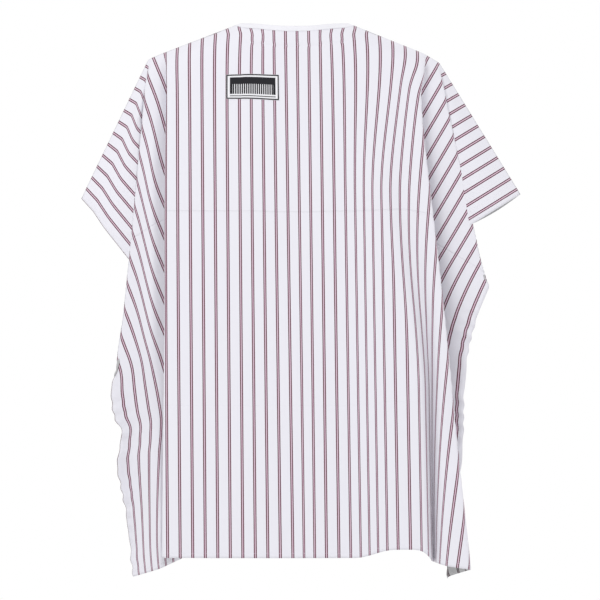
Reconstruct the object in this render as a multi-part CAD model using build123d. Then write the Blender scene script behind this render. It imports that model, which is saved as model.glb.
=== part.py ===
"""Striped barber cape with cut-in-one short sleeves and a snap tab at the back neck.

Millimetres, +Z up. The wearer faces -Y and the wearer's left arm is on +X.
The origin is the middle of the neck opening, level with the two neck points.
"""
import math
import os

from build123d import *

os.makedirs("parts", exist_ok=True)

# ---- driving dimensions --------------------------------------------------
NECK_HALF_WIDTH = 128.0    # half the width of the neck opening
NECK_HALF_DEPTH = 43.0     # half its depth, front to back
FRONT_DIP = 8.0            # how far the front neckline sinks below the neck points
BACK_DIP = 4.0             # and the back neckline
NECK_END = 136.0           # front and back meet in the shoulder seam from here out
NECK_SHARE = 0.18          # share of a panel's half width that is neckline
FRONT_FLAT = 30.0          # the front neckline is straight out to here
BACK_FLAT = 76.0           # and the back neckline, for the tab
FRONT_LENGTH = 1223.0      # front neckline to front hem
BACK_LENGTH = 372.0        # back neckline to back hem
SLEEVE_DROP = 150.0        # ridge to underarm, down the sleeve hem
CLOTH = 1.6                # panel thickness, hems and air between layers included
SLIT_HALF = 5.0            # half the gap between the two back panels
ROLL = 20.0                # drop within which the cloth rounds over the shoulder
CHEST_SWELL = 16.0         # how far the middle of the front stands forward
SHOULDER_SWELL = 26.0      # and how much further it does below the shoulders
BACK_SWELL = 42.0          # how far the back stands out below the shoulders
EDGE_PULL = 5              # power that keeps the side's own curve near the side edge
BIND = 11.5                # height of the neck binding
BIND_RISE = 1.2            # how far it stands above the panels' raw edge
BIND_IN = 1.4              # its half thickness towards the neck
BIND_OUT = 1.8             # and outwards
FACING = 46.0              # height of the neck facing
FACING_TOP = 6.0           # its top edge is this far inside the binding
FACING_GAP = 0.8           # air between a panel and its facing
FACING_CLOTH = 1.0         # the facing is one turned layer
LABEL_W = 126.0            # chest label
LABEL_H = 56.0
LABEL_X = -96.0            # its middle
LABEL_Z = -149.0
LABEL_LEAN = 3.0           # degrees
LABEL_LIFT = (-1.6, -1.0)  # its two faces, in front of the panel
CARE_X = (40.0, 70.0)      # care label, sewn under the back facing
CARE_Z = (-84.0, -34.0)
CARE_THICK = 0.8
TAB_ROOT_X = 28.0          # the tab peels open about this upright seam
TAB_ROOT_W = 15.5          # width of the sewn-down root
TAB_LENGTH = 114.0
TAB_HEIGHT = 40.0
TAB_TOP = -6.0
TAB_THICK = 2.2
TAB_CORNER = 12.0
SNAP_GAP = 3.7             # panel face to tab: the height of a closed snap
STUD_X = (-70.0, -52.0, -34.0, -16.0)   # snap studs on the right back panel
STUD_Z = -26.0
SNAP_R = 5.5               # outside radius of a snap cap, stud or backing disc
SNAP_DISC = 0.8            # thickness of a stud's or backing's disc
POST_R = 2.0               # radius of a stud's post
POST_H = 2.2
PIN_R = 1.2                # pin that joins the stud to its backing through the cloth
CAP_THICK = 1.2
SOCKET_ON = (-70.0, -34.0)  # the tab's two sockets close on these studs
SOCKET_R = 4.6
SOCKET_BORE = 2.6
TACK = (14.0, 6.0, 2.4)    # bar tack at the underarm
PLAY = 0.1                 # air between snap parts and cloth

# outlines of one side of the cape: x is out from the middle, y is front to back
SIDES = {
    1: dict(
        shoulder=(304, -64),
        tip=(519, -388),
        hem=[(0, -88, -1223), (250, -92, -1221), (345, -90, -1214), (394, -46, -1248),
             (388, 8, -1262), (337, 34, -1277)],
        edge=[(519, 0, -388), (470, -33, -420), (413, -2, -455), (441, 12, -589),
              (412, 28, -700), (379, 36, -860), (352, 38, -1060), (337, 34, -1277)],
        back_edge=[(519, 0, -388), (470, 33, -420), (413, 2, -455)],
    ),
    -1: dict(
        shoulder=(308, -64),
        tip=(495, -409),
        hem=[(0, -88, -1223), (200, -92, -1223), (296, -88, -1223), (334, -46, -1244),
             (356, -4, -1262), (377, 32, -1271)],
        edge=[(495, 0, -409), (452, -35, -470), (395, -2, -533), (409, 12, -640),
              (411, 30, -815), (404, 36, -1026), (377, 32, -1271)],
        back_edge=[(495, 0, -409), (452, 35, -470), (395, 2, -533)],
    ),
}
BACK_HEM = [(SLIT_HALF, 60, -376), (120, 66, -380), (250, 60, -402)]


# ---- drape of the cloth ----------------------------------------------------
def along(points, t):
    """Point a share t of the way along a run of points, eased at the corners."""
    spans = [math.dist(a, b) for a, b in zip(points, points[1:])]
    total = sum(spans)
    out = [0.0] * len(points[0])
    shifts = (-0.03, 0.0, 0.03)
    for shift in shifts:
        inside_ends = math.sin(math.pi * min(max(t, 0), 1))
        goal = min(max(t + shift * inside_ends, 0.0), 1.0) * total
        i = 0
        while i < len(spans) - 1 and goal > spans[i]:
            goal -= spans[i]
            i += 1
        f = min(goal / spans[i], 1.0)
        for k in range(len(out)):
            out[k] += (points[i][k] + (points[i + 1][k] - points[i][k]) * f) / len(shifts)
    return out


def ease(value, low, high):
    """Smooth rise from 0 to 1 between low and high."""
    t = min(max((value - low) / (high - low), 0.0), 1.0)
    return t * t * (3 - 2 * t)


def ridge(side, a, back):
    """Top edge of a panel at share a of its half width: neckline, shoulder, top of the sleeve."""
    data = SIDES[side]
    start = SLIT_HALF if back else 0.0
    if a < NECK_SHARE:
        x = start + (NECK_HALF_WIDTH - start) * a / NECK_SHARE
        z = 0.0
    else:
        run = [(NECK_HALF_WIDTH * 0.9, 0.0), data["shoulder"], data["tip"]]
        x, z = along(run, 0.03 + 0.97 * (a - NECK_SHARE) / (1 - NECK_SHARE))
    if back:
        y = NECK_HALF_DEPTH * (1 - ease(x, BACK_FLAT, NECK_END))
        dip = BACK_DIP
    else:
        y = -NECK_HALF_DEPTH * (1 - ease(x, FRONT_FLAT, NECK_END))
        dip = FRONT_DIP
    return [side * x, y, z - dip * (1 - ease(x, 40.0, NECK_END))]


def drop_rows(length, count):
    """Distances below the top edge, close together at the ridge."""
    shares = [k / (count - 1) for k in range(count)]
    return [length * (0.12 * t + 0.88 * t ** 2.2) for t in shares]


def run_length(points):
    return sum(math.dist(a, b) for a, b in zip(points, points[1:]))


def edge_share(drop, edge):
    """Share of the side edge reached this far down: the sleeve hem first, then the open side."""
    sleeve = run_length(edge[:3])
    lag = (sleeve / run_length(edge)) / (SLEEVE_DROP / FRONT_LENGTH)
    t = drop / FRONT_LENGTH
    return t * (lag + (1 - lag) * t)


def between(top, low, rim, tip, corner, a, w):
    """Point a out and w down a panel, given its top, low and side edges and their corners."""
    pull = a ** EDGE_PULL
    out = []
    for k in range(3):
        plain = top[k] + (low[k] - top[k]) * w
        out.append(plain + pull * (rim[k] - tip[k] - (corner[k] - tip[k]) * w))
    return out


def mirrored(side, point):
    return [side * point[0], point[1], point[2]]


def front_point(s, drop):
    """Front panel point at share s of its half width, left positive, and a drop from its top."""
    side = 1 if s >= 0 else -1
    a = abs(s)
    data = SIDES[side]
    w = drop / FRONT_LENGTH
    low = mirrored(side, along(data["hem"], a))
    rim = mirrored(side, along(data["edge"], edge_share(drop, data["edge"])))
    corner = mirrored(side, data["hem"][-1])
    out = between(ridge(side, a, False), low, rim, ridge(side, 1.0, False), corner, a, w)
    over = (1 - a ** EDGE_PULL) * (1 - math.exp(-drop / ROLL)) * (1 - w)
    out[1] -= over * (CHEST_SWELL + SHOULDER_SWELL * ease(a, 0.04, 0.32))
    return out


def back_point(side, a, drop):
    """Back panel point at share a of its half width and a drop from its top."""
    data = SIDES[side]
    w = drop / BACK_LENGTH
    top = ridge(side, a, True)
    corner = mirrored(side, data["back_edge"][-1])
    low = mirrored(side, along(BACK_HEM + [data["back_edge"][-1]], a))
    rim = mirrored(side, along(data["back_edge"], w))
    out = between(top, low, rim, ridge(side, 1.0, True), corner, a, w)
    over = (1 - a ** EDGE_PULL) * (1 - math.exp(-drop / ROLL)) * (1 - w)
    out[1] += over * BACK_SWELL * ease(a, 0.11, 0.3)
    flat = (1 - ease(a, 0.1, 0.18)) * (low[1] - top[1])
    out[1] += flat * (w ** 3 - w)
    return out


def grid_normal(grid, i, j):
    a = grid[min(i + 1, len(grid) - 1)][j] - grid[max(i - 1, 0)][j]
    b = grid[i][min(j + 1, len(grid[0]) - 1)] - grid[i][max(j - 1, 0)]
    return a.cross(b).normalized()


def patch(grid, near, far):
    """Closed cloth solid between two offsets, near and far, of a grid of points."""
    layers = []
    for off in (near, far):
        moved = []
        for i in range(len(grid)):
            moved.append([grid[i][j] + grid_normal(grid, i, j) * off for j in range(len(grid[0]))])
        layers.append(moved)
    top = Face.make_surface_from_array_of_points(layers[0], tol=0.5, min_deg=3, max_deg=3)
    low = Face.make_surface_from_array_of_points(layers[1], tol=0.5, min_deg=3, max_deg=3)
    walls = []
    for edge in top.edges():
        mate = min(low.edges(), key=lambda e: (e.position_at(0.5) - edge.position_at(0.5)).length)
        walls.append(Face.make_surface_from_curves(edge, mate))
    return Solid(Shell([top, low] + walls))


def panel_on(point, spread, drops, near, far):
    """Cloth laid on part of a panel: point(s, drop) over a spread of s and drops."""
    grid = [[Vector(*point(s, d)) for d in drops] for s in spread]
    return patch(grid, near, far)


def steps(low, high, count):
    return [low + (high - low) * k / (count - 1) for k in range(count)]


def disc(x, y0, y1, radius, bore=0.0):
    """Round snap part standing on the back panel between y0 and y1."""
    turned = Cylinder(radius, y1 - y0, align=(Align.CENTER, Align.CENTER, Align.MIN))
    if bore:
        turned -= Cylinder(bore, 3 * (y1 - y0), align=(Align.CENTER, Align.CENTER, Align.CENTER))
    return Pos(x, y0, STUD_Z) * Rot(-90, 0, 0) * turned


def plate(x0, x1, y0, y1, z0, z1):
    return Pos(x0, y0, z0) * Box(x1 - x0, y1 - y0, z1 - z0, align=(Align.MIN, Align.MIN, Align.MIN))


parts = {}

# ---- the three cloth panels --------------------------------------------------
parts["front_panel"] = panel_on(
    front_point, steps(-1, 1, 49), drop_rows(FRONT_LENGTH, 18), 0.0, CLOTH
)
parts["back_panel_left"] = panel_on(
    lambda a, d: back_point(1, a, d), steps(0, 1, 41), drop_rows(BACK_LENGTH, 12), 0.0, -CLOTH
)
parts["back_panel_right"] = panel_on(
    lambda a, d: back_point(-1, a, d), steps(0, 1, 41), drop_rows(BACK_LENGTH, 12), 0.0, CLOTH
)

# ---- neck binding: one strip folded over the whole neckline --------------------
neckline = [ridge(1, a, True) for a in steps(0.0, NECK_SHARE, 15)]
neckline += [ridge(1, a, False) for a in steps(NECK_SHARE, 0.0, 13)]
neckline += [ridge(-1, a, False) for a in steps(0.015, NECK_SHARE, 12)]
neckline += [ridge(-1, a, True) for a in steps(NECK_SHARE, 0.0, 15)]
band = []
for x, y, z in neckline:
    band.append([Vector(x, y, z + BIND_RISE - drop) for drop in steps(0, BIND + BIND_RISE, 4)])
parts["neck_binding"] = patch(band, -BIND_IN, BIND_OUT)

# ---- facings inside the neckline ----------------------------------------------
near = CLOTH + FACING_GAP
far = near + FACING_CLOTH
facing_rows = steps(FACING_TOP, FACING, 5)
parts["front_neck_facing"] = panel_on(front_point, steps(-0.15, 0.15, 13), facing_rows, near, far)
parts["back_neck_facing_left"] = panel_on(
    lambda a, d: back_point(1, a, d), steps(0.0, 0.105, 6), facing_rows, -near, -far
)
parts["back_neck_facing_right"] = panel_on(
    lambda a, d: back_point(-1, a, d), steps(0.0, 0.105, 6), facing_rows, near, far
)


# ---- labels -----------------------------------------------------------------
def front_at(x, z):
    """Front panel point that lies at this x and z."""
    low, high, drop = -1.0, 1.0, -z
    for _ in range(30):
        mid = (low + high) / 2
        here = front_point(mid, drop)
        drop += here[2] - z
        if here[0] < x:
            low = mid
        else:
            high = mid
    return front_point((low + high) / 2, drop)


label_rows = []
for across in steps(-LABEL_W / 2, LABEL_W / 2, 7):
    column = []
    for down in steps(-LABEL_H / 2, LABEL_H / 2, 5):
        lean = across * math.sin(math.radians(LABEL_LEAN)) * (1 - down / LABEL_H)
        column.append(Vector(*front_at(LABEL_X + across, LABEL_Z - down + lean)))
    label_rows.append(column)
parts["chest_label"] = patch(label_rows, *LABEL_LIFT)

BACK_OUT = NECK_HALF_DEPTH    # outside face of the back panels at the neck
BACK_IN = BACK_OUT - far      # inside face of the back facing
care_near = BACK_IN - 2 * PLAY
parts["care_label"] = plate(*CARE_X, care_near - CARE_THICK, care_near, *CARE_Z)

# ---- snap studs on the right back panel, each with its backing disc --------------
stud_foot = BACK_OUT + PLAY
stud_face = stud_foot + SNAP_DISC
backing_face = BACK_IN - PLAY
for number, x in enumerate(STUD_X, 1):
    stud = disc(x, stud_foot, stud_face, SNAP_R)
    stud += disc(x, stud_face, stud_face + POST_H, POST_R)
    parts[f"snap_stud_{number}"] = stud
    backing = disc(x, backing_face - SNAP_DISC, backing_face, SNAP_R)
    backing += disc(x, backing_face, stud_foot, PIN_R)
    parts[f"stud_backing_{number}"] = backing

# ---- closure tab: sewn-down root, peeling tab, sockets and caps -------------------
tab_in = BACK_OUT + SNAP_GAP
tab_out = tab_in + TAB_THICK
tab_low = TAB_TOP - TAB_HEIGHT
root_x = TAB_ROOT_X + 0.5
parts["tab_root"] = plate(root_x, root_x + TAB_ROOT_W, BACK_OUT + 2 * PLAY, tab_out, tab_low, TAB_TOP)
tab_start = TAB_ROOT_X - 1.0
tab = plate(tab_start - TAB_LENGTH, tab_start, tab_in, tab_out, tab_low, TAB_TOP)
tab_corners = tab.edges().filter_by(Axis.Y).sort_by(Axis.X)[:2]
parts["closure_tab"] = fillet(tab_corners, TAB_CORNER)
for number, x in enumerate(SOCKET_ON, 1):
    parts[f"snap_socket_{number}"] = disc(x, stud_face + 0.3, tab_in, SOCKET_R, SOCKET_BORE)
    parts[f"snap_cap_{number}"] = disc(x, tab_out, tab_out + CAP_THICK, SNAP_R)

# ---- bar tacks that close the sleeves at the underarm ---------------------------
for name, side in (("underarm_tack_left", 1), ("underarm_tack_right", -1)):
    x, _, z = SIDES[side]["edge"][2]
    tack = Box(*TACK)
    tack = fillet(tack.edges().filter_by(Axis.Y), 1.0)
    parts[name] = Pos(side * (x - 6.0), 0.0, z + 3.0) * Rot(0, -side * 35.0, 0) * tack

for name, shape in parts.items():
    export_step(shape, f"parts/{name}.step")
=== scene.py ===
import math

import bpy
import numpy as np
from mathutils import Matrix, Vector, noise


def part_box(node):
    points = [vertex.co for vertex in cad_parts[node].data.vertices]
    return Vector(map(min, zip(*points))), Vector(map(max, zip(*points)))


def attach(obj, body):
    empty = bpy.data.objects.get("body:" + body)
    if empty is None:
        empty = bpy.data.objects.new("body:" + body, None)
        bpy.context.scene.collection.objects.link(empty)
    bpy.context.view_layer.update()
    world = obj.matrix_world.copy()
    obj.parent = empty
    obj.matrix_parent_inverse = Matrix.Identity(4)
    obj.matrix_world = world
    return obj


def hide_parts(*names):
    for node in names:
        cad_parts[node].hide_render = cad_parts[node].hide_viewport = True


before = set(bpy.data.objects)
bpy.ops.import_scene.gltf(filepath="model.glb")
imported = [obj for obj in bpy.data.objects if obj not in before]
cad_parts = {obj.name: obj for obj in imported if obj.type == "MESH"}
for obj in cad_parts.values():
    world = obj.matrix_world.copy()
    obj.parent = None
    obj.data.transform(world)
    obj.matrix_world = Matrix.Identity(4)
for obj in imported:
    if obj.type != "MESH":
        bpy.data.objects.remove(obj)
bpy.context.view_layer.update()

# ---------------------------------------------------------------- front panel
# One width of striped cotton, cut with a straight neck edge, sloping shoulders and short sleeves
# all in the same piece, then turned and sewn round its edges. It hangs from the shoulders, and
# what the lowered arms leave over falls in two flat pleats on each side.
# Sizes of the flat cut, in metres, measured out from the middle and down from the neck.
HALF_WIDTH = 0.704
FRONT_DROP = 1.224
NECK_U = 0.137  # half of the neck edge
SHOULDER_U = 0.308  # where the shoulder's slope ends and the first pleat starts
SLEEVE_U = 0.348  # where the second pleat starts

# Sizes of the cloth as it hangs
NECK_X = 0.128  # half the width of the neck opening
NECK_DEPTH = 0.043  # from the middle of the neck to its front and back edges
FRONT_FLAT = 0.030  # half of the straight part of the front edge
BACK_FLAT = 0.076  # half of the straight part of the back edge
NECK_END = 0.136  # where the neck's curve meets the shoulder ridge
ROLL = 0.022  # how quickly the cloth rolls over the shoulder ridge
CHEST_DEPTH = 0.050  # how far in front of the shoulders the panel hangs at the top
HEM_SWING = 0.034  # how much further forward its hem is
NECK_DIP = {"front": 0.009, "back": 0.004}
TUCK = 0.030  # how far a pleat lies behind the front of the panel
DEEP_TUCK = 0.036  # how much further back the wearer's left pleat goes
SLEEVE_SAG = 0.004  # how far the back of a sleeve hangs below its front

# The grid that a panel is made on
CELL = 0.0071
TOP_CELL = 0.0035
TOP_ZONE = 0.063  # the depth of the finer rows at the neck
FOLD_ROUNDING = 2  # rounds of evening out, which give a fold its small radius

# How each side hangs, the wearer's left (1) and right (-1): the end of the shoulder in x and z,
# and degrees from the vertical for the first fold, the cloth behind it at its top and bottom,
# the sleeve, and the second fold.
SIDES = {
    1: dict(
        shoulder=(0.299, -0.069),
        fold=13.2,
        body_turn=(30.5, 19.0),
        sleeve_turn=58.3,
        sleeve_lean=12.2,
    ),
    -1: dict(
        shoulder=(0.300, -0.066),
        fold=0.7,
        body_turn=(22.8, 13.0),
        sleeve_turn=64.3,
        sleeve_lean=5.65,
    ),
}


def ease(value, low, high):
    """0 below low, 1 above high, and a smooth rise between."""
    t = np.clip((value - low) / (high - low), 0, 1)
    return t * t * (3 - 2 * t)


def top_edge(side, out):
    """Flat cut's top edge, measured down from the neckline."""
    drop = -SIDES[side]["shoulder"][1]
    return drop * np.clip((out - NECK_U) / (SHOULDER_U - NECK_U), 0, 1)


def swing(out, down, pivot, place, degrees):
    """Flat cloth swung inwards about a pivot by some degrees, with the pivot set at place."""
    du, dv = out - pivot[0], down - pivot[1]
    a = np.radians(degrees)
    return place[0] + du * np.cos(a) - dv * np.sin(a), place[1] - du * np.sin(a) - dv * np.cos(a)


def hang(side, out, down, back):
    """Where flat cloth at (out from the middle, down from the neck) hangs: x outwards, y and z."""
    cut = SIDES[side]
    sx, sz = cut["shoulder"]
    pivot = (SHOULDER_U, -sz)
    share = np.clip(down / FRONT_DROP, 0, 1)
    below = np.clip(down - top_edge(side, out), 0, None)
    du, dv = out - SHOULDER_U, down + sz
    reach = np.hypot(du, dv) + 1e-9
    lean = np.degrees(np.arctan2(du, dv))
    far = np.clip(reach / 1.2, 0, 1)
    front_fold = cut["fold"] if not back else 0.7

    # middle of the panel: straight down from the neck and shoulder
    neck_x = np.where(out < NECK_U, out * NECK_X / NECK_U, out - NECK_U + NECK_X)
    mid_z = -down
    if back:
        shift = 0
    elif side == 1:
        shift = 0.019 - 0.009 * ease(out, -0.03, 0.06)
    else:
        shift = -0.019
    mid_x = neck_x * (1 - share) + (out + shift) * share
    if side == 1 and not back:
        fold_line = 5.0 - 14 * np.exp(-reach / 0.17) * ease(reach, 0, 0.06)
    else:
        fold_line = 0.17 - 3.0 * np.exp(-reach / 0.12)
    gathered = 0 * out
    if side == 1 and not back:
        # the flutes beside this side's pleat take up width, more of it lower down
        mid_x = mid_x - 0.0365 * ease(out, 0.10, 0.27) * ease(down, 0.05, 0.40)
        low = 0.22 + 0.08 * ease(down, 0.35, 0.85)
        high = np.minimum(0.34 + 0.163 * down, SHOULDER_U + dv * math.tan(math.radians(front_fold)))
        gathered = ease(out, low, np.maximum(high, low + 0.03)) * ease(below, 0.0, 0.10)
        mid_z = mid_z + share ** 2 * (
            0.019 * ease(out, 0.13, 0.26)
            - 0.037 * ease(out, 0.30, 0.41)
            + 0.010 * ease(out, 0.45, 0.52)
        )
    fold_x, fold_z = swing(out, down, pivot, (sx, sz), front_fold - fold_line)
    weight = gathered if side == 1 and not back else ease(du, -0.10, 0.0) * ease(below, 0.0, 0.10)
    mid_x = mid_x * (1 - weight) + fold_x * weight
    mid_z = mid_z * (1 - weight) + fold_z * weight

    # cloth below the sleeve, swung in about the shoulder behind the first pleat
    top_turn, low_turn = cut["body_turn"]
    lowered = ease(far, 0.40, 0.85) if side == 1 else ease(far, 0.5, 1.0)
    turn = top_turn + (low_turn - top_turn) * lowered
    body_x, body_z = swing(out, down, pivot, (sx, sz), turn)
    if side == -1 and not back:
        # drawn out from under the front, so the stripes lie closer beside the fold
        drawn = ease(down, 0.12, 0.38) * (1 - ease(down, 0.62, 0.90))
        body_x = body_x + 0.024 * drawn * (1 - ease(body_x, 0.290, 0.375))
    valley = (turn + fold_line + front_fold) / 2

    # sleeve, swung down about a point just past the shoulder, behind the second pleat
    past = SLEEVE_U - SHOULDER_U
    angle = math.radians(top_turn)
    place = (sx + past * math.cos(angle), sz - past * math.sin(angle))
    arm_x, arm_z = swing(out, down, (SLEEVE_U, -sz), place, cut["sleeve_turn"])
    lean2 = np.degrees(np.arctan2(out - SLEEVE_U, dv))
    fold2 = cut["sleeve_lean"] + top_turn
    valley2 = fold2 + (cut["sleeve_turn"] - top_turn) / 2
    along = np.maximum(out - SLEEVE_U, 0)
    if back:
        # the back of each sleeve hangs a little lower than the front
        sag = SLEEVE_SAG * np.sin(math.pi * np.clip(dv / 0.13, 0, 1)) * ease(along, 0.22, 0.35)
        arm_z = arm_z - sag
        arm_x = arm_x + 0.4 * sag
    elif side == -1:
        # this sleeve sags: across it the cloth slopes, then drops, then slopes again
        a = math.radians(cut["sleeve_turn"])
        tip = ease(along, 0.10, 0.36)
        start = 0.012 + 0.085 * along
        run = np.clip(dv, None, start)
        drop = np.clip(dv - start, 0, 0.045)
        rest = np.clip(dv - start - 0.045, 0, None)
        arm_x = place[0] + along * math.cos(a)
        arm_x = arm_x - (0.84 - 0.16 * tip) * run - (0.28 + 0.28 * tip) * drop
        arm_x = arm_x - (0.70 - 0.08 * tip) * rest
        arm_z = place[1] - along * math.sin(a)
        arm_z = arm_z - (0.52 + 0.21 * tip) * run - (0.70 + 0.13 * tip) * drop
        arm_z = arm_z - (0.71 + 0.07 * tip) * rest

    pleat = np.where(du > 0, np.clip((lean - front_fold) / (valley - front_fold), 0, 1), 0)
    pleat2 = np.where(out > SLEEVE_U, np.clip((lean2 - fold2) / (valley2 - fold2), 0, 1), 0)

    # depth: the middle hangs in front, each pleat behind the last, the sleeve round the arm
    chest = CHEST_DEPTH + HEM_SWING * share
    valley_depth = 0.040 * ease(down, 0.10, 1.0) * np.sin(math.pi * np.clip(gathered, 0, 1)) ** 1.5
    y_mid = -chest + valley_depth
    fold2_reach = np.maximum(fold2, valley + 5)
    tucked = TUCK + (DEEP_TUCK if side == 1 and not back else 0) * ease(down, 0.15, 0.6)
    y_body = -chest + tucked + (chest - tucked - 0.034) * ease(lean, valley, fold2_reach)
    roll = np.clip((lean2 - valley2) / (90 - valley2), 0, 1)
    y_arm = -0.016 - 0.020 * np.sin(math.pi * roll)

    side_x, side_z = body_x, body_z
    if not back:
        # the lower part of the side turns away from the front as it hangs
        edge_x = sx + (sz + down) * np.tan(np.radians(fold_line)) if side == 1 else 0.303 + 0 * down
        away = ease(down, 0.86, 1.20) if side == 1 else ease(down, 0.66, 1.16)
        keep = 1 - (0.57 if side == 1 else 0.42) * away
        moved = edge_x + (body_x - edge_x) * keep
        if side == 1:
            y_body = y_body + (0.082 + 0.10 * (body_x - edge_x + 0.135)) * away
            side_z = body_z + 0.008 * away * ease(np.abs(body_x - edge_x), 0.0, 0.13)
        else:
            outwards = np.minimum(-0.050 + (moved - 0.305) * 1.4, 0.050)
            inwards = np.minimum(-0.046 + (0.305 - moved) * 1.3, 0.026)
            y_body = y_body * (1 - away) + np.where(moved > 0.305, outwards, inwards) * away
            side_z = body_z + 0.006 * away
        side_x = moved
    side_x = side_x * (1 - pleat2) + arm_x * pleat2
    side_z = side_z * (1 - pleat2) + arm_z * pleat2
    x = mid_x * (1 - pleat) + side_x * pleat
    z = mid_z * (1 - pleat) + side_z * pleat
    y = y_mid * (1 - pleat) + (y_body * (1 - pleat2) + y_arm * pleat2) * pleat

    # rounded over the ridge of the shoulder and arm, and level along the neckline
    drop = 1 - np.exp(-below / ROLL)
    if back:
        rim = NECK_DEPTH * (1 - ease(x, BACK_FLAT, NECK_END))
        y = rim * (1 - drop) - y * 0.86 * drop
        dip = NECK_DIP["back"]
    else:
        rim = -NECK_DEPTH * (1 - ease(x, FRONT_FLAT, NECK_END))
        y = rim * (1 - drop) + y * drop
        dip = NECK_DIP["front"]
    z = z - dip * (1 - ease(out, 0.02, 0.13)) * np.exp(-down / 0.3)
    return x, y, z


def round_folds(points, times):
    """Even each point out with its neighbours, so that a fold has a small radius."""
    for _ in range(times):
        p = points.copy()
        p[1:-1, 1:-1] = 0.5 * points[1:-1, 1:-1] + 0.125 * (
            points[2:, 1:-1] + points[:-2, 1:-1] + points[1:-1, 2:] + points[1:-1, :-2]
        )
        p[-1, 1:-1] = 0.5 * points[-1, 1:-1] + 0.25 * (points[-1, 2:] + points[-1, :-2])
        p[0, 1:-1] = 0.8 * points[0, 1:-1] + 0.1 * (points[0, 2:] + points[0, :-2])
        p[1:-1, 0] = 0.5 * points[1:-1, 0] + 0.25 * (points[2:, 0] + points[:-2, 0])
        p[1:-1, -1] = 0.5 * points[1:-1, -1] + 0.25 * (points[2:, -1] + points[:-2, -1])
        points = p
    return points


class Cloth:
    """A panel as a grid: flat place across and down, and the point where each node hangs."""

    def __init__(self, edges, low_edge, back):
        fine = np.arange(0, TOP_ZONE, TOP_CELL)
        rest = np.linspace(TOP_ZONE, low_edge.max(), int((low_edge.max() - TOP_ZONE) / CELL) + 1)
        self.shares = np.concatenate([fine, rest]) / low_edge.max()
        self.edges = edges
        side = np.where(edges >= 0, 1, -1)
        self.tops = np.array([top_edge(s, abs(u)) for s, u in zip(side, edges)])
        self.low = low_edge
        self.down = self.tops + (low_edge - self.tops) * self.shares[:, None]
        self.across = np.repeat(edges[None, :], len(self.shares), 0)
        self.points = np.zeros(self.down.shape + (3,))
        for s in (1, -1):
            cols = side == s
            if cols.any():
                x, y, z = hang(s, np.abs(self.across[:, cols]), self.down[:, cols], back)
                self.points[:, cols] = np.stack([s * x, y, z], -1)
        self.points = round_folds(self.points, FOLD_ROUNDING)
        self.facing_sign = 1

    def normals(self):
        """Outward direction at every node."""
        a = np.gradient(self.points, axis=0)
        b = np.gradient(self.points, axis=1)
        n = np.cross(a, b) * self.facing_sign
        return n / (np.linalg.norm(n, axis=-1, keepdims=True) + 1e-12)

    def at(self, u, v, lift=0.0):
        """Points on the cloth at flat places (u, v), lifted outwards."""
        u, v = np.broadcast_arrays(np.asarray(u, float), np.asarray(v, float))
        order = np.argsort(self.edges)
        col = np.interp(u, self.edges[order], order.astype(float))
        top = np.interp(u, self.edges[order], self.tops[order])
        low = np.interp(u, self.edges[order], self.low[order])
        row = np.interp((v - top) / (low - top), self.shares, np.arange(len(self.shares)))
        i = np.clip(row.astype(int), 0, self.points.shape[0] - 2)
        j = np.clip(col.astype(int), 0, self.points.shape[1] - 2)
        fi, fj = (row - i)[..., None], (col - j)[..., None]
        out = 0
        for field, scale in ((self.points, 1.0), (self.normals(), lift)):
            near = field[i, j] * (1 - fj) + field[i, j + 1] * fj
            next_ = field[i + 1, j] * (1 - fj) + field[i + 1, j + 1] * fj
            out = out + (near * (1 - fi) + next_ * fi) * scale
        return out


def columns(start, end):
    """Evenly spaced columns of the grid."""
    return np.linspace(start, end, int(round(abs(end - start) / CELL)) + 1)


edges = columns(-HALF_WIDTH, HALF_WIDTH)
front = Cloth(edges, np.full(len(edges), FRONT_DROP), False)
u, v, p = front.across, front.down, front.points


def hump(value, centre, spread):
    """1 at the centre, falling smoothly away on both sides."""
    return np.exp(-(((value - centre) / spread) ** 2))


def hollows(across, down, layer, stretch):
    """Slow uneven swells from -1 to 1, long in the direction of the stripes."""
    places = zip(across.ravel(), down.ravel())
    swell = [noise.noise(Vector((a * 5.0, b * stretch, layer))) for a, b in places]
    return np.array(swell).reshape(across.shape)


# slow hollows in the middle of the cloth
middle = 1 - 0.85 * ease(np.abs(u), 0.28, 0.36)
p[..., 1] += 0.005 * ease(v, 0.05, 0.25) * hollows(u, v, 3.7, 1.1) * middle

# the pleat on the wearer's left keeps clear of the flute in front of it
behind_flute = ease(u, 0.46, 0.50) * (1 - ease(u, 0.60, 0.66))
p[..., 1] += 0.009 * behind_flute * ease(v, 0.50, 0.65) * (1 - ease(v, 0.95, 1.05))

# cloth drawn in towards the bound neck, and puckered a little along and below the facing's seam
FACING_SEAM = 0.0455
FACING_HALF = 0.128  # half of the front facing's length
beside_neck = ease(np.abs(u), 0.04, 0.12) * (1 - ease(np.abs(u), 0.15, 0.25))
p[..., 0] -= np.sign(u) * 0.007 * (beside_neck * np.exp(-v / 0.055) * ease(v, 0.008, 0.03))
seam = hump(v, FACING_SEAM, 0.005) * (1 - ease(np.abs(u), 0.125, 0.140))
p[..., 1] += 0.0014 * seam
p[..., 0] += 0.0013 * seam * np.sin(u / 0.0062 + 3 * np.sin(u * 31))
fading = np.exp(-np.clip(v - FACING_SEAM, 0, None) / 0.030)
below_seam = fading * ease(v, 0.04, 0.052) * (1 - ease(np.abs(u), 0.12, 0.15))
p[..., 1] -= 0.0014 * below_seam * np.sin(u / 0.0048 + 2 * np.sin(u * 57))

# a soft ridge runs down the outer part of the pleat on the wearer's right
ridge = (u < -0.33) * ease(v, 0.15, 0.3) * (1 - ease(v, 0.6, 0.8))
p[..., 1] -= 0.006 * ridge * hump(p[..., 0], -0.325, 0.014)

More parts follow.
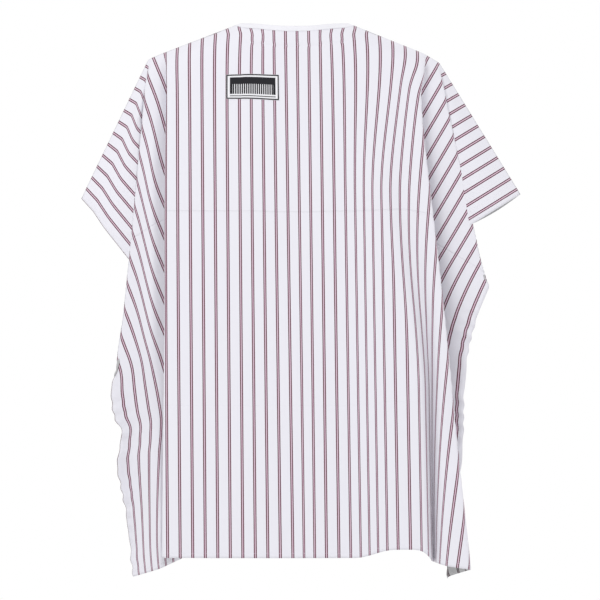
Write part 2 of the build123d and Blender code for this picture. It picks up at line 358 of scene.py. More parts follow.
# the loose side hems ruffle a little, and the right one is nipped in at one place
gap = HALF_WIDTH - np.abs(u)
loose = np.where(u > 0, ease(v, 0.45, 0.60), ease(v, 0.70, 0.82))
near_edge = np.exp(-gap / 0.020) * loose
p[..., 1] += 0.0034 * near_edge * np.sin(v / 0.0085 + 4 * np.sin(v * 23))
p[..., 0] += np.where(u > 0, 0.0016, 0.0018) * near_edge * np.sin(v / 0.0085 + 3 * np.sin(v * 31))
nip = hump(v, 0.860, 0.026) * np.exp(-gap / 0.05)
p[..., 0] += np.where(u < 0, 0.013, 0) * nip
p[..., 0] += np.where(u < 0, 0.015, 0) * hump(v, 0.705, 0.05) * np.exp(-gap / 0.06)
bulge = ease(v, 0.90, 0.94) * (1 - ease(v, 0.94, 1.12))
p[..., 0] -= np.where(u < 0, 0.011, 0) * bulge * np.exp(-gap / 0.06)

# The cloth itself. A stripe is a pair of thin lines with a tinted core between them.
HEM_WIDTH = 0.011
PANEL_THICK = 0.0005
STRIPE_PITCH = 0.0285
STRIPE_SHIFT = 0.006  # how far the pattern lies off the middle of the cloth
LINE_OFF = 0.0023  # from the middle of a stripe to the middle of each line
LINE_HALF = 0.00110
CORE_HALF = 0.0020
WEAVE_HEIGHT = 0.00010
SLUB_HEIGHT = 0.0009
CREASE_HALF = 0.0024
CREASES = ((0.433, 0.0016), (0.878, 0.0005))  # each packing crease: how far down, and how deep


def add_object(name, points, faces, uvs=None):
    """A smooth mesh object; uvs gives each point's flat place in metres."""
    mesh = bpy.data.meshes.new(name)
    mesh.from_pydata(np.asarray(points).tolist(), [], [list(face) for face in faces])
    if uvs is not None:
        corner = np.zeros(len(mesh.loops), int)
        mesh.loops.foreach_get("vertex_index", corner)
        layer = mesh.uv_layers.new(name="flat_cut")
        layer.data.foreach_set("uv", np.asarray(uvs, np.float32)[corner].ravel())
    mesh.polygons.foreach_set("use_smooth", [True] * len(mesh.polygons))
    obj = bpy.data.objects.new(name, mesh)
    bpy.context.scene.collection.objects.link(obj)
    return obj


def grid_object(name, points, across, down, flipped=False):
    """A sheet from a grid of points."""
    rows, cols = across.shape
    index = np.arange(rows * cols).reshape(rows, cols)
    faces = np.stack([index[:-1, :-1], index[1:, :-1], index[1:, 1:], index[:-1, 1:]], -1)
    faces = faces.reshape(-1, 4)
    if flipped:
        faces = faces[:, ::-1]
    return add_object(name, points.reshape(-1, 3), faces, np.stack([across.ravel(), down.ravel()], 1))


def thicken(obj, thickness, hem=None, inner_slot=0):
    """Thickness on the inner side; where hem is 1 the cloth is turned and lies three times as thick."""
    solid = obj.modifiers.new("thickness", "SOLIDIFY")
    solid.offset = -1
    solid.thickness = thickness
    solid.use_even_offset = False
    solid.material_offset = inner_slot
    if hem is not None:
        group = obj.vertex_groups.new(name="hem")
        group.add(np.nonzero(hem.ravel())[0].tolist(), 1.0, "REPLACE")
        solid.thickness = thickness * 3
        solid.vertex_group = "hem"
        solid.thickness_vertex_group = 1 / 3


def node(tree, kind, inputs=None, **settings):
    """A node with its settings and inputs; an input is a value or another node's socket."""
    made = tree.nodes.new(kind)
    for key, value in settings.items():
        setattr(made, key, value)
    for key, value in (inputs or {}).items():
        if isinstance(value, bpy.types.NodeSocket):
            tree.links.new(value, made.inputs[key])
        else:
            made.inputs[key].default_value = value
    return made


def maths(tree, operation, a, b=0.0, c=0.0):
    """The result of one sum."""
    return node(tree, "ShaderNodeMath", {0: a, 1: b, 2: c}, operation=operation).outputs[0]


def mixed(tree, share, first, second):
    """The first colour where share is 0, and the second where it is 1."""
    return node(tree, "ShaderNodeMix", {0: share, 6: first, 7: second}, data_type="RGBA").outputs[2]


def woven(name, base, ink=None, core=None, creases=(), weave=330.0, roughness=0.85):
    """Plain-weave cotton of one colour, or with paired stripes of ink on either side of a core."""
    mat = bpy.data.materials.new(name)
    mat.use_nodes = True
    tree = mat.node_tree
    shader = tree.nodes["Principled BSDF"]
    shader.inputs["Roughness"].default_value = roughness
    shader.inputs["Sheen Weight"].default_value = 0.2
    shader.inputs["Specular IOR Level"].default_value = 0.25
    shader.inputs["Base Color"].default_value = (*base, 1)
    flat = node(tree, "ShaderNodeUVMap", uv_map="flat_cut").outputs[0]
    split = node(tree, "ShaderNodeSeparateXYZ", {0: flat})
    place_u, place_v = split.outputs[0], split.outputs[1]
    if ink:
        # half a cell puts a stripe mid-cell, and sixty whole ones keep every place above zero
        phase = maths(tree, "ADD", place_u, STRIPE_PITCH * 60.5 - STRIPE_SHIFT)
        cell = maths(tree, "FRACT", maths(tree, "DIVIDE", phase, STRIPE_PITCH))
        centred = maths(tree, "ABSOLUTE", maths(tree, "SUBTRACT", cell, 0.5))
        away = maths(tree, "MULTIPLY", centred, STRIPE_PITCH)
        off_line = maths(tree, "ABSOLUTE", maths(tree, "SUBTRACT", away, LINE_OFF))
        line = maths(tree, "LESS_THAN", off_line, LINE_HALF)
        inside = maths(tree, "LESS_THAN", away, CORE_HALF)
        thread_noise = {"Vector": flat, "Scale": 900.0, "Detail": 1.0}
        threads = node(tree, "ShaderNodeTexNoise", thread_noise).outputs[0]
        plain = mixed(tree, inside, (*base, 1), (*core, 1))
        inked = mixed(tree, threads, (*ink, 1), (*[1.5 * c for c in ink], 1))
        tree.links.new(mixed(tree, line, plain, inked), shader.inputs["Base Color"])
    threads_at = {"Vector": flat, "Scale": weave}
    warp = node(tree, "ShaderNodeTexWave", threads_at, bands_direction="X").outputs[1]
    weft = node(tree, "ShaderNodeTexWave", threads_at, bands_direction="Y").outputs[1]
    slub_noise = {"Vector": flat, "Scale": 30.0, "Detail": 6.0, "Roughness": 0.6}
    slubs = node(tree, "ShaderNodeTexNoise", slub_noise).outputs[0]
    height = maths(tree, "MULTIPLY", maths(tree, "MULTIPLY", warp, weft), WEAVE_HEIGHT)
    height = maths(tree, "ADD", height, maths(tree, "MULTIPLY", slubs, SLUB_HEIGHT))
    for crease, depth in creases:
        off = maths(tree, "ABSOLUTE", maths(tree, "SUBTRACT", place_v, crease))
        beside = maths(tree, "MINIMUM", maths(tree, "DIVIDE", off, CREASE_HALF), 1.0)
        fall = maths(tree, "SUBTRACT", 1.0, beside)
        height = maths(tree, "SUBTRACT", height, maths(tree, "MULTIPLY", fall, depth))
    relief = {"Height": height, "Strength": 0.6, "Distance": 1.0}
    bump = node(tree, "ShaderNodeBump", relief).outputs[0]
    tree.links.new(bump, shader.inputs["Normal"])
    return mat


WHITE = (0.735, 0.728, 0.785)
striped_face = woven("striped cotton, face", WHITE, (0.072, 0.002, 0.018), (0.62, 0.47, 0.56), CREASES)
# The reverse of the same cloth, as its inner faces show it. Its white, lines and core are painted
# darker and greyer as painted shade, because the inside is seen in shadow.
reverse_painted_in_shade = woven(
    "striped cotton, reverse painted in shade", (0.44, 0.44, 0.45), (0.035, 0.020, 0.026), (0.24, 0.21, 0.22)
)

stripe_gap = np.minimum(gap, FRONT_DROP - v)
front_cloth = grid_object("front_panel_cloth", p, u, v)
front_cloth.data.materials.append(striped_face)
front_cloth.data.materials.append(reverse_painted_in_shade)
# the inner faces take the second slot, which is the reverse with its painted shade
thicken(front_cloth, PANEL_THICK, stripe_gap < HEM_WIDTH, 1)
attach(front_cloth, "cape")
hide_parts("front_panel")

# ---------------------------------------------------------------- stitches
# Lock stitches of white cotton thread hold the turned hems, about four to the centimetre.
STITCH_PITCH = 0.0032
STITCH_LENGTH = 0.0024
THREAD = 0.00045


def sewing_tree():
    """Geometry nodes: short stitches laid along a seam line."""
    tree = bpy.data.node_groups.new("sewn seam", "GeometryNodeTree")
    face = tree.interface
    face.new_socket("Seam line", in_out="INPUT", socket_type="NodeSocketGeometry")
    for label in ("Pitch", "Stitch length", "Thread thickness"):
        face.new_socket(label, in_out="INPUT", socket_type="NodeSocketFloat")
    face.new_socket("Thread", in_out="INPUT", socket_type="NodeSocketMaterial")
    face.new_socket("Stitches", in_out="OUTPUT", socket_type="NodeSocketGeometry")
    given = tree.nodes.new("NodeGroupInput").outputs
    line = node(tree, "GeometryNodeMeshToCurve", {0: given["Seam line"]})
    spacing = {"Curve": line.outputs[0], "Length": given["Pitch"]}
    spaced = node(tree, "GeometryNodeResampleCurve", spacing, mode="LENGTH")
    heading = node(tree, "GeometryNodeInputTangent").outputs[0]
    turned = node(tree, "FunctionNodeAlignRotationToVector", {"Vector": heading}, axis="X").outputs[0]
    size = node(
        tree,
        "ShaderNodeCombineXYZ",
        {0: given["Stitch length"], 1: given["Thread thickness"], 2: given["Thread thickness"]},
    ).outputs[0]
    bead = node(tree, "GeometryNodeMeshUVSphere", {"Segments": 6, "Rings": 4, "Radius": 0.5}).outputs[0]
    laid = node(
        tree,
        "GeometryNodeInstanceOnPoints",
        {"Points": spaced.outputs[0], "Instance": bead, "Rotation": turned, "Scale": size},
    ).outputs[0]
    real = node(tree, "GeometryNodeRealizeInstances", {0: laid}).outputs[0]
    paint = {"Geometry": real, "Material": given["Thread"]}
    painted = node(tree, "GeometryNodeSetMaterial", paint).outputs[0]
    node(tree, "NodeGroupOutput", {0: painted})
    return tree


def thread_material(name, colour):
    """Spun thread, with a slight sheen."""
    mat = bpy.data.materials.new(name)
    mat.use_nodes = True
    shader = mat.node_tree.nodes["Principled BSDF"]
    shader.inputs["Base Color"].default_value = (*colour, 1)
    shader.inputs["Roughness"].default_value = 0.55
    shader.inputs["Sheen Weight"].default_value = 0.3
    return mat


sewn_seam = sewing_tree()
white_thread = thread_material("white cotton thread", (0.76, 0.76, 0.80))


def sew(
    name, lines, thread=white_thread, body="cape",
    pitch=STITCH_PITCH, length=STITCH_LENGTH, thick=THREAD,
):
    """One row of stitches along each line of points."""
    points, links = [], []
    for line in lines:
        start = len(points)
        points += [tuple(q) for q in line]
        links += [(k, k + 1) for k in range(start, len(points) - 1)]
    mesh = bpy.data.meshes.new(name + "_line")
    mesh.from_pydata(points, links, [])
    guide = bpy.data.objects.new(name + "_line", mesh)
    bpy.context.scene.collection.objects.link(guide)
    rows = guide.modifiers.new("stitches", "NODES")
    rows.node_group = sewn_seam
    inputs = [item for item in sewn_seam.interface.items_tree if item.in_out == "INPUT"]
    sockets = {item.name: item.identifier for item in inputs}
    rows[sockets["Pitch"]] = pitch
    rows[sockets["Stitch length"]] = length
    rows[sockets["Thread thickness"]] = thick
    rows[sockets["Thread"]] = thread
    shown = bpy.context.evaluated_depsgraph_get()
    sewn = bpy.data.objects.new(name, bpy.data.meshes.new_from_object(guide.evaluated_get(shown)))
    bpy.context.scene.collection.objects.link(sewn)
    bpy.data.objects.remove(guide)
    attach(sewn, body)
    return sewn


LIFT = 0.0001  # how far a row of stitches stands off the cloth
END = 0.002  # how far short of an edge it stops
HEM_START = 0.012  # where the rows down a side begin, below the shoulder or the neck
along_hem = np.linspace(-HALF_WIDTH + END, HALF_WIDTH - END, 480)
hem_lines = [front.at(along_hem, FRONT_DROP - HEM_WIDTH, LIFT)]
for side in (1, -1):
    down_side = np.linspace(-SIDES[side]["shoulder"][1] + HEM_START, FRONT_DROP - END, 390)
    hem_lines.append(front.at(side * (HALF_WIDTH - HEM_WIDTH), down_side, LIFT))
sew("front_hem_stitches", hem_lines)
along_neck = np.linspace(-FACING_HALF, FACING_HALF, 90)
sew("front_facing_stitches", [front.at(along_neck, FACING_SEAM, LIFT)])

# ---------------------------------------------------------------- back panels
# Two short panels of the same cloth, joined to the front along the shoulders and the tops of the
# sleeves, open down the middle, and hemmed like the front.
BACK_DROP = 0.378
SLIT = 0.005
SLEEVE_HEM = {1: 0.125, -1: 0.160}  # how deep the back of each sleeve is at its opening
BACK_SEAM_END = 0.078  # where the row that holds the back facing stops

back = {}
for name, side in (("left", 1), ("right", -1)):
    edges = side * columns(SLIT, HALF_WIDTH)
    corner = -SIDES[side]["shoulder"][1] + SLEEVE_HEM[side]
    slope = ease(np.abs(edges), 0.30, 0.80) / ease(HALF_WIDTH, 0.30, 0.80)
    low_edge = BACK_DROP - (BACK_DROP - corner) * slope
    panel = Cloth(edges, low_edge, True)
    bu, bv = panel.across, panel.down
    panel.points[..., 1] += 0.004 * ease(bv, 0.09, 0.25) * hollows(bu, bv, 9.1, 3.0)
    panel.facing_sign = 1 if side == -1 else -1
    if (panel.normals()[:, : len(edges) // 4, 1]).mean() < 0:
        panel.facing_sign *= -1
    cloth = grid_object(f"back_panel_{name}_cloth", panel.points, bu, bv, flipped=side == 1)
    edge_gap = np.minimum(HALF_WIDTH - np.abs(bu), panel.low - bv)
    edge_gap = np.minimum(edge_gap, np.abs(bu) - SLIT)
    cloth.data.materials.append(striped_face)
    cloth.data.materials.append(reverse_painted_in_shade)
    # the inner faces take the second slot, which is the reverse with its painted shade
    thicken(cloth, PANEL_THICK, edge_gap < HEM_WIDTH, 1)
    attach(cloth, "cape")
    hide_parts(f"back_panel_{name}")
    inner_edges = side * np.linspace(SLIT + END, HALF_WIDTH - END, 240)
    order = np.argsort(edges)
    low_here = np.interp(inner_edges, edges[order], panel.low[order])
    down_hem = np.linspace(-SIDES[side]["shoulder"][1] + HEM_START, corner - END, 60)
    down_slit = np.linspace(HEM_START, BACK_DROP - END, 120)
    lines = [
        panel.at(inner_edges, low_here - HEM_WIDTH, LIFT),
        panel.at(side * (HALF_WIDTH - HEM_WIDTH), down_hem, LIFT),
        panel.at(side * (SLIT + HEM_WIDTH), down_slit, LIFT),
    ]
    sew(f"back_hem_stitches_{name}", lines)
    facing_row = side * np.linspace(SLIT + 0.003, BACK_SEAM_END, 30)
    sew(f"back_facing_stitches_{name}", [panel.at(facing_row, FACING_SEAM, LIFT)])
    back[side] = panel

# ---------------------------------------------------------------- neck binding
# One bias strip of plain white cotton, folded over the raw neck edge of all three panels and
# sewn through along its lower edge.
BIND = 0.0115  # how far the folded strip reaches down each face
BIND_OUT = 0.0009
BIND_IN = 0.0017
BIND_RISE = 0.0012


def binding_stations():
    """Places round the neckline from slit to slit: which panel, which side, and how far across."""
    stations = []
    for side in (1, -1):
        back_run = [("back", side, t) for t in np.linspace(SLIT, NECK_U, 46)]
        front_run = [("front", side, t) for t in np.linspace(NECK_U, 0.0, 46)]
        stations.append(back_run + front_run)
    return stations[0] + stations[1][::-1][1:]


def strip_point(kind, side, out, drop, lift):
    """On the cloth at a distance from the neck edge, measured square to the strip's direction."""
    fan = math.radians(90) * float(ease(out, 0.117, NECK_U))
    across = out + drop * math.sin(fan)
    top = float(top_edge(side, across))
    cloth = front if kind == "front" else back[side]
    return cloth.at(side * across, top + drop * math.cos(fan), lift)


plain_cotton = woven("plain white cotton", (0.77, 0.765, 0.81), weave=420.0)
strip_rows = (BIND, BIND * 0.96, BIND * 0.5, 0.0015)
rows = []
bottom_row = []
for kind, side, out in binding_stations():
    outer = [strip_point(kind, side, out, d, BIND_OUT) for d in strip_rows]
    inner = [strip_point(kind, side, out, d, -BIND_IN) for d in strip_rows[::-1]]
    crest = strip_point(kind, side, out, 0.0, -0.0004) + np.array([0, 0, BIND_RISE])
    fold_out = strip_point(kind, side, out, 0.0, BIND_OUT * 0.8) + np.array([0, 0, BIND_RISE * 0.6])
    fold_in = strip_point(kind, side, out, 0.0, -BIND_IN * 0.8) + np.array([0, 0, BIND_RISE * 0.6])
    rows.append(outer + [fold_out, crest, fold_in] + inner)
    bottom_row.append(strip_point(kind, side, out, BIND - 0.0016, BIND_OUT + 0.00012))
band = np.moveaxis(np.array(rows), 1, 0)
for _ in range(3):
    smooth = band.copy()
    smooth[:, 1:-1] = 0.5 * band[:, 1:-1] + 0.25 * (band[:, 2:] + band[:, :-2])
    band = smooth


def lengths(line):
    """How far along the line each of its points is."""
    return np.concatenate([[0], np.cumsum(np.linalg.norm(np.diff(line, axis=0), axis=1))])


run = lengths(band[5])  # round the neck, along the crest
over = lengths(band[:, 60])  # over the fold, at one place
binding_along, binding_over = np.meshgrid(run, over)
binding = grid_object("neck_binding_strip", band, binding_along, binding_over)
binding.data.materials.append(plain_cotton)
thicken(binding, PANEL_THICK)
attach(binding, "cape")
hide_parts("neck_binding")
sew("neck_binding_stitches", [bottom_row])

# ---------------------------------------------------------------- neck facings
# Strips of plain cloth inside the neckline, front and both halves of the back, so that the edge
# keeps its shape.
FACING = 0.046  # how far down its lower edge is
FACING_TOP = 0.006
FACING_IN = 0.0021
FACING_THICK = 0.0009
BACK_FACING_END = 0.080
facing_cotton = woven("facing cotton", (0.70, 0.70, 0.74), weave=380.0)
facings = (
    ("front_neck_facing", front, -FACING_HALF, FACING_HALF),
    ("back_neck_facing_left", back[1], SLIT + 0.001, BACK_FACING_END),
    ("back_neck_facing_right", back[-1], -SLIT - 0.001, -BACK_FACING_END),
)
for name, cloth, start, end in facings:
    across, down = np.meshgrid(np.linspace(start, end, 60), np.linspace(FACING_TOP, FACING, 12))
    inside = cloth.at(across, down, -FACING_IN)
    sheet = grid_object(name + "_cloth", inside, across, down, flipped=name.endswith("left"))
    sheet.data.materials.append(facing_cotton)
    thicken(sheet, FACING_THICK)
    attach(sheet, "cape")
    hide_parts(name)

# ---------------------------------------------------------------- chest patch
# A white woven patch with a black border and a comb, sewn on the wearer's right breast.
PATCH_U = -0.1035
PATCH_V = 0.1468
PATCH_W = 0.127
PATCH_H = 0.058
PATCH_LIFT = 0.0009
PATCH_FLARE = 0.07  # how much taller it is towards the wearer's left
PATCH_LEAN = 0.0035  # how much higher that end sits


def patch_place(a, b, lift):
    """On the front panel, for a and b from -0.5 to 0.5 across and up the patch."""
    drop = PATCH_V - b * PATCH_H * (1 + PATCH_FLARE * a) - PATCH_LEAN * a
    return front.at(PATCH_U + a * PATCH_W, drop, lift)


def patch_material():
    """Woven patch: border and comb in black on white, drawn from the patch's own flat place."""
    mat = woven("woven chest patch", (0.76, 0.76, 0.79), weave=700.0, roughness=0.7)
    tree = mat.node_tree
    shader = tree.nodes["Principled BSDF"]
    flat = node(tree, "ShaderNodeUVMap", uv_map="flat_cut").outputs[0]
    split = node(tree, "ShaderNodeSeparateXYZ", {0: flat})
    x, y = split.outputs[0], split.outputs[1]

    def box(cx, cy, half_w, half_h):
        """1 inside a rectangle, given by its middle and half its sides."""
        in_x = maths(tree, "LESS_THAN", maths(tree, "ABSOLUTE", maths(tree, "SUBTRACT", x, cx)), half_w)
        in_y = maths(tree, "LESS_THAN", maths(tree, "ABSOLUTE", maths(tree, "SUBTRACT", y, cy)), half_h)
        return maths(tree, "MULTIPLY", in_x, in_y)

    def minus(first, second):
        """The first shape with the second cut out of it."""
        return maths(tree, "MULTIPLY", first, maths(tree, "SUBTRACT", 1.0, second))

    border = minus(box(0, 0, 0.0630, 0.0285), box(0, 0, 0.0602, 0.0257))
    spine = box(0, 0.0140, 0.0550, 0.0080)
    left_end, right_end = box(-0.0520, -0.003, 0.0030, 0.0140), box(0.0520, -0.003, 0.0030, 0.0140)
    ends = maths(tree, "MAXIMUM", left_end, right_end)
    tooth = maths(tree, "FRACT", maths(tree, "DIVIDE", maths(tree, "ADD", x, 1.0), 0.0052))
    comb_area = box(0, -0.003, 0.0490, 0.0140)
    teeth = maths(tree, "MULTIPLY", maths(tree, "LESS_THAN", tooth, 0.66), comb_area)
    rule = box(0, -0.0215, 0.0550, 0.0010)
    drawn = border
    for shape in (spine, ends, teeth, rule):
        drawn = maths(tree, "MAXIMUM", drawn, shape)
    colour = mixed(tree, drawn, (0.76, 0.76, 0.79, 1), (0.008, 0.008, 0.012, 1))
    tree.links.new(colour, shader.inputs["Base Color"])
    return mat


a, b = np.meshgrid(np.linspace(-0.5, 0.5, 64), np.linspace(0.5, -0.5, 30))
patch = grid_object("chest_patch", patch_place(a, b, PATCH_LIFT), a * PATCH_W, b * PATCH_H)
patch.data.materials.append(patch_material())
thicken(patch, 0.0007)
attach(patch, "cape")
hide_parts("chest_label")
PATCH_SEAM = 0.0008  # how far its stitches run inside its edge
loop_a = np.concatenate([np.linspace(-1, 1, 60), np.ones(30), np.linspace(1, -1, 60), -np.ones(30)])
loop_b = np.concatenate([np.ones(60), np.linspace(1, -1, 30), -np.ones(60), np.linspace(-1, 1, 30)])
patch_loop = patch_place(
    loop_a * (0.5 - PATCH_SEAM / PATCH_W), loop_b * (0.5 - PATCH_SEAM / PATCH_H), PATCH_LIFT + 0.0001
)
black_thread = thread_material("black thread", (0.02, 0.02, 0.025))
sew("chest_patch_stitches", [patch_loop], thread=black_thread, pitch=0.0024, length=0.0019)

# ---------------------------------------------------------------- care label
# A blank tape of white satin, sewn to the left back facing by its top edge and curling a little.
label_low, label_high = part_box("care_label")
satin = woven("label satin", (0.78, 0.78, 0.78), weave=900.0, roughness=0.4)
label_cols = np.linspace(label_low[0], label_high[0], 16)
label_rows = np.linspace(label_high[2], label_low[2], 26)
across, down = np.meshgrid(label_cols, label_rows)
curl = 0.0025 * ease(label_high[2] - down, 0.02, 0.05)
label_points = np.stack([across, np.full(across.shape, label_high[1]) - curl, down], -1)
label = grid_object("care_label_tape", label_points, across, down)
label.data.materials.append(satin)
thicken(label, 0.0004)
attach(label, "cape")
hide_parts("care_label")
top_line = np.linspace(label_low[0] + 0.001, label_high[0] - 0.001, 12)
label_row = [(x, label_high[1] - 0.0006, label_high[2] - 0.002) for x in top_line]
sew("care_label_stitches", [label_row])

# ---------------------------------------------------------------- snaps
# Four moulded studs, each pinned through the right back panel to a backing disc, and two sockets
# with domed caps on the tab.
snap_white = bpy.data.materials.new("white acetal")
snap_white.use_nodes = True
snap_shader = snap_white.node_tree.nodes["Principled BSDF"]
snap_shader.inputs["Base Color"].default_value = (0.70, 0.70, 0.69, 1)
snap_shader.inputs["Roughness"].default_value = 0.32
snap_shader.inputs["Subsurface Weight"].default_value = 0.1
snap_shader.inputs["Subsurface Scale"].default_value = 0.002
SPIN = 48


def moulded(node_name, outline, body):
    """A piece turned about its own middle: outline is (radius, depth outwards) from its inner face."""
    low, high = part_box(node_name)
    middle_x, middle_z = (low[0] + high[0]) / 2, (low[2] + high[2]) / 2
    points, rings, faces = [], [], []
    for radius, depth in outline:
        spots = SPIN if radius else 1
        rings.append([len(points) + k % spots for k in range(SPIN + 1)])
        for k in range(spots):
            angle = 2 * math.pi * k / SPIN
            x, z = middle_x + radius * math.cos(angle), middle_z + radius * math.sin(angle)
            points.append((x, low[1] + depth, z))
    if outline[0][0]:
        rings.append(rings[0])
    for here, after in zip(rings, rings[1:]):
        for k in range(SPIN):
            corners = [here[k], after[k], after[k + 1], here[k + 1]]
            faces.append(list(dict.fromkeys(corners)))
    piece = add_object(node_name + "_moulding", points, faces)
    piece.data.materials.append(snap_white)
    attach(piece, body)
    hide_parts(node_name)


MM = 0.001
# each outline is in millimetres, and starts on the inner face
stud_outline = [
    (0, 0.0), (5.2, 0.0), (5.5, 0.25), (5.5, 0.55), (5.2, 0.8), (2.6, 0.8), (2.1, 1.0), (1.9, 1.6),
    (2.0, 2.3), (1.9, 2.8), (1.5, 3.0), (0.9, 3.0), (0.7, 2.6), (0, 2.5),
]
backing_outline = [
    (0, 0.0), (4.6, 0.0), (5.2, 0.15), (5.5, 0.4), (5.4, 0.75), (5.1, 0.8), (1.3, 0.8), (1.2, 1.0),
    (1.1, 4.4), (0, 4.4),
]
socket_outline = [
    (2.6, 0.2), (2.8, 0.0), (3.6, 0.0), (3.9, 0.3), (4.1, 1.2), (4.6, 1.6), (4.6, 2.5), (2.7, 2.5),
    (2.6, 2.3),
]
cap_outline = [
    (0, 0.0), (5.2, 0.0), (5.5, 0.2), (5.45, 0.55), (4.9, 0.95), (3.6, 1.15), (2.2, 1.2), (1.6, 1.1),
    (1.2, 0.9), (0, 0.85),
]
for number in range(1, 5):
    moulded(f"snap_stud_{number}", [(r * MM, d * MM) for r, d in stud_outline], "cape")
    moulded(f"stud_backing_{number}", [(r * MM, d * MM) for r, d in backing_outline], "cape")
for number in range(1, 3):
    moulded(f"snap_socket_{number}", [(r * MM, d * MM) for r, d in socket_outline], "closure_tab")
    moulded(f"snap_cap_{number}", [(r * MM, d * MM) for r, d in cap_outline], "closure_tab")

# ---------------------------------------------------------------- closure tab
# A doubled tab of the plain cotton, rounded at its free end. Its root is sewn down on the left
# back panel, and the rest peels open about that seam.
TAB_CORNER = 0.012
EDGE = 0.0042  # how far the stitches run inside the edge
PLATE_COLS, PLATE_ROWS = 61, 21


def padded_plate(name, node_name, rounded, body):
    """A flat stitched cloth plate with soft edges, in the CAD node's own place."""
    low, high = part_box(node_name)
    half_z, centre_z = (high[2] - low[2]) / 2, (high[2] + low[2]) / 2
    s, t = np.meshgrid(np.linspace(0, 1, PLATE_COLS), np.linspace(0, 1, PLATE_ROWS))
    x = low[0] + (high[0] - low[0]) * s
    z = high[2] + (low[2] - high[2]) * t
    allowed = half_z
    if rounded:
        reach_in = np.clip(low[0] + TAB_CORNER - x, 0, TAB_CORNER)
        allowed = half_z - TAB_CORNER + np.sqrt(np.clip(TAB_CORNER ** 2 - reach_in ** 2, 0, None))
        z = centre_z + (z - centre_z) * allowed / half_z
    rim = np.minimum(np.minimum(x - low[0], high[0] - x), allowed - np.abs(z - centre_z))
    round_in = 0.0009 * (1 - ease(rim, 0.0, 0.0016))
    groove = 0.00030 * hump(rim, EDGE, 0.0007)
    outer = np.stack([x, high[1] - round_in - groove, z], -1)
    inner = np.stack([x, low[1] + round_in, z], -1)
    count = PLATE_COLS * PLATE_ROWS
    index = np.arange(count).reshape(PLATE_ROWS, PLATE_COLS)
    top_faces = np.stack([index[:-1, :-1], index[:-1, 1:], index[1:, 1:], index[1:, :-1]], -1)
    top_faces = top_faces.reshape(-1, 4)
    low_faces = top_faces[:, ::-1] + count
    border = np.concatenate([index[0, :], index[1:, -1], index[-1, -2::-1], index[-2:0:-1, 0]])
    nxt = np.roll(border, -1)
    wall = np.stack([border, border + count, nxt + count, nxt], -1)
    faces = np.concatenate([top_faces, low_faces, wall])
    flat = np.stack([x.ravel(), z.ravel()], 1)
    points = np.concatenate([outer.reshape(-1, 3), inner.reshape(-1, 3)])
    piece = add_object(name, points, faces, np.tile(flat, (2, 1)))
    piece.data.materials.append(plain_cotton)
    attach(piece, body)
    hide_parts(node_name)
    return low, high


tab_low, tab_high = padded_plate("closure_tab_cloth", "closure_tab", True, "closure_tab")
root_low, root_high = padded_plate("tab_root_cloth", "tab_root", False, "cape")
half = (tab_high[2] - tab_low[2]) / 2
mid_z = (tab_high[2] + tab_low[2]) / 2
seam_end = tab_high[0] - 0.002
turn = np.linspace(math.pi / 2, math.pi * 1.5, 40)
radius = TAB_CORNER - EDGE


def corner_arc(angles, centre_z):
    """Stitch places round one rounded corner of the free end."""
    centre_x = tab_low[0] + TAB_CORNER
    return [(centre_x + radius * math.cos(t), centre_z + radius * math.sin(t)) for t in angles]


tab_row = [(seam_end, mid_z + half - EDGE)]
tab_row += corner_arc(turn[:20], mid_z + half - TAB_CORNER)
tab_row += corner_arc(turn[20:], mid_z - half + TAB_CORNER)
tab_row += [(seam_end, mid_z - half + EDGE)]
tab_line = [(x, tab_high[1] - 0.0001, z) for x, z in tab_row]
sew("closure_tab_stitches", [tab_line], body="closure_tab")

# the root is held by a stitched box with a cross in it
left, right = root_low[0] + 0.003, root_high[0] - 0.003
top, bottom = root_high[2] - 0.004, root_low[2] + 0.004
cross = [(left, top), (right, top), (right, bottom), (left, bottom), (left, top), (right, bottom)]
other = [(left, bottom), (right, top)]
root_lines = [[(x, root_high[1] + 0.0001, z) for x, z in row] for row in (cross, other)]
sew("tab_root_stitches", root_lines)

# ---------------------------------------------------------------- underarm tacks
# A dense zigzag bar tack closes each sleeve where the back panel's lower corner meets the front.
TACK_LENGTH = 0.0125
TACK_HALF = 0.0011
TACK_TURNS = 44
TACK_LEAN = 35  # degrees

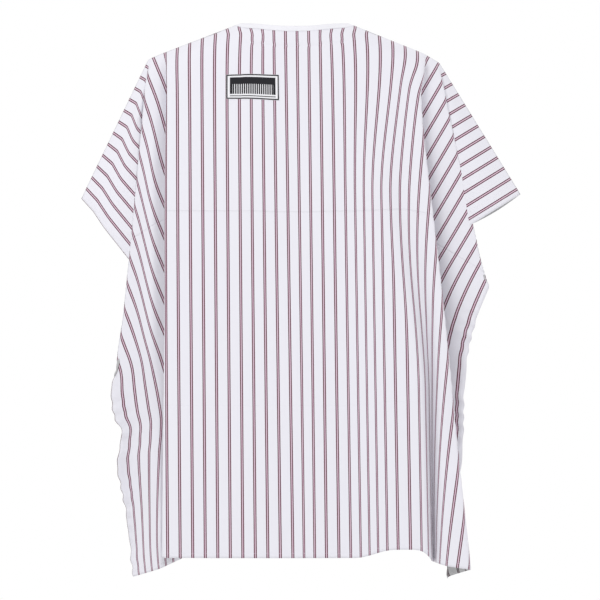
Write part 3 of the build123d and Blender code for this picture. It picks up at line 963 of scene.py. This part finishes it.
for name, side in (("left", 1), ("right", -1)):
    low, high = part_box(f"underarm_tack_{name}")
    middle = (np.array(low) + np.array(high)) / 2
    angle = math.radians(TACK_LEAN) * side
    zigzag = []
    for k in range(TACK_TURNS):
        t = (k / (TACK_TURNS - 1) - 0.5) * TACK_LENGTH
        w = TACK_HALF * (1 if k % 2 else -1)
        x = t * math.cos(angle) + w * math.sin(angle)
        z = t * math.sin(angle) - w * math.cos(angle)
        zigzag.append((middle[0] + x, middle[2] + z))
    rows = [
        [(x, low[1] + 0.0003, z) for x, z in zigzag],
        [(x, high[1] - 0.0003, z) for x, z in zigzag[::-1]],
    ]
    tack = sew(f"underarm_tack_{name}_thread", rows, pitch=0.0006, length=0.0012, thick=0.0006)
    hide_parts(f"underarm_tack_{name}")

# ---------------------------------------------------------------- floor, light and camera
# A pale floor and backdrop with soft studio light, and a level camera in front.
scene = bpy.context.scene
scene.view_settings.view_transform = "Standard"
camera_data = bpy.data.cameras.new("camera")
camera_data.lens = 200
camera = bpy.data.objects.new("camera", camera_data)
scene.collection.objects.link(camera)
scene.camera = camera
PICTURE_WIDE = 1.374  # metres across at the depth in focus
PICTURE_X, FOCUS_Y, PICTURE_Z = 0.0126, -0.045, -0.636
distance = PICTURE_WIDE * camera_data.lens / camera_data.sensor_width
camera.location = (PICTURE_X, FOCUS_Y - distance, PICTURE_Z)
camera.rotation_euler = (math.pi / 2, 0, 0)
camera_data.clip_end = 60

bpy.ops.mesh.primitive_plane_add(size=8, location=(0, -1.0, -1.75))
floor = bpy.context.object
floor.name = "floor"
floor_paint = bpy.data.materials.new("studio floor")
floor_paint.use_nodes = True
floor_shader = floor_paint.node_tree.nodes["Principled BSDF"]
floor_shader.inputs["Base Color"].default_value = (0.90, 0.90, 0.90, 1)
floor_shader.inputs["Roughness"].default_value = 0.9
floor.data.materials.append(floor_paint)

world = bpy.data.worlds.new("studio")
scene.world = world
world.use_nodes = True
backdrop = world.node_tree.nodes["Background"]
backdrop.inputs["Color"].default_value = (1.0, 1.0, 1.0, 1)
backdrop.inputs["Strength"].default_value = 1.0
LIGHTS_AIM = Vector((0, 0, -0.6))
for name, place, size, power in (
    ("key light", (-1.6, -2.6, 1.2), 1.6, 22),
    ("fill light", (2.4, -2.6, -0.4), 2.4, 6),
    ("back light", (0.6, 2.4, 1.4), 2.0, 12),
):
    data = bpy.data.lights.new(name, "AREA")
    data.energy = power
    data.size = size
    lamp = bpy.data.objects.new(name, data)
    scene.collection.objects.link(lamp)
    lamp.location = place
    lamp.rotation_euler = (LIGHTS_AIM - Vector(place)).to_track_quat("-Z", "Y").to_euler()
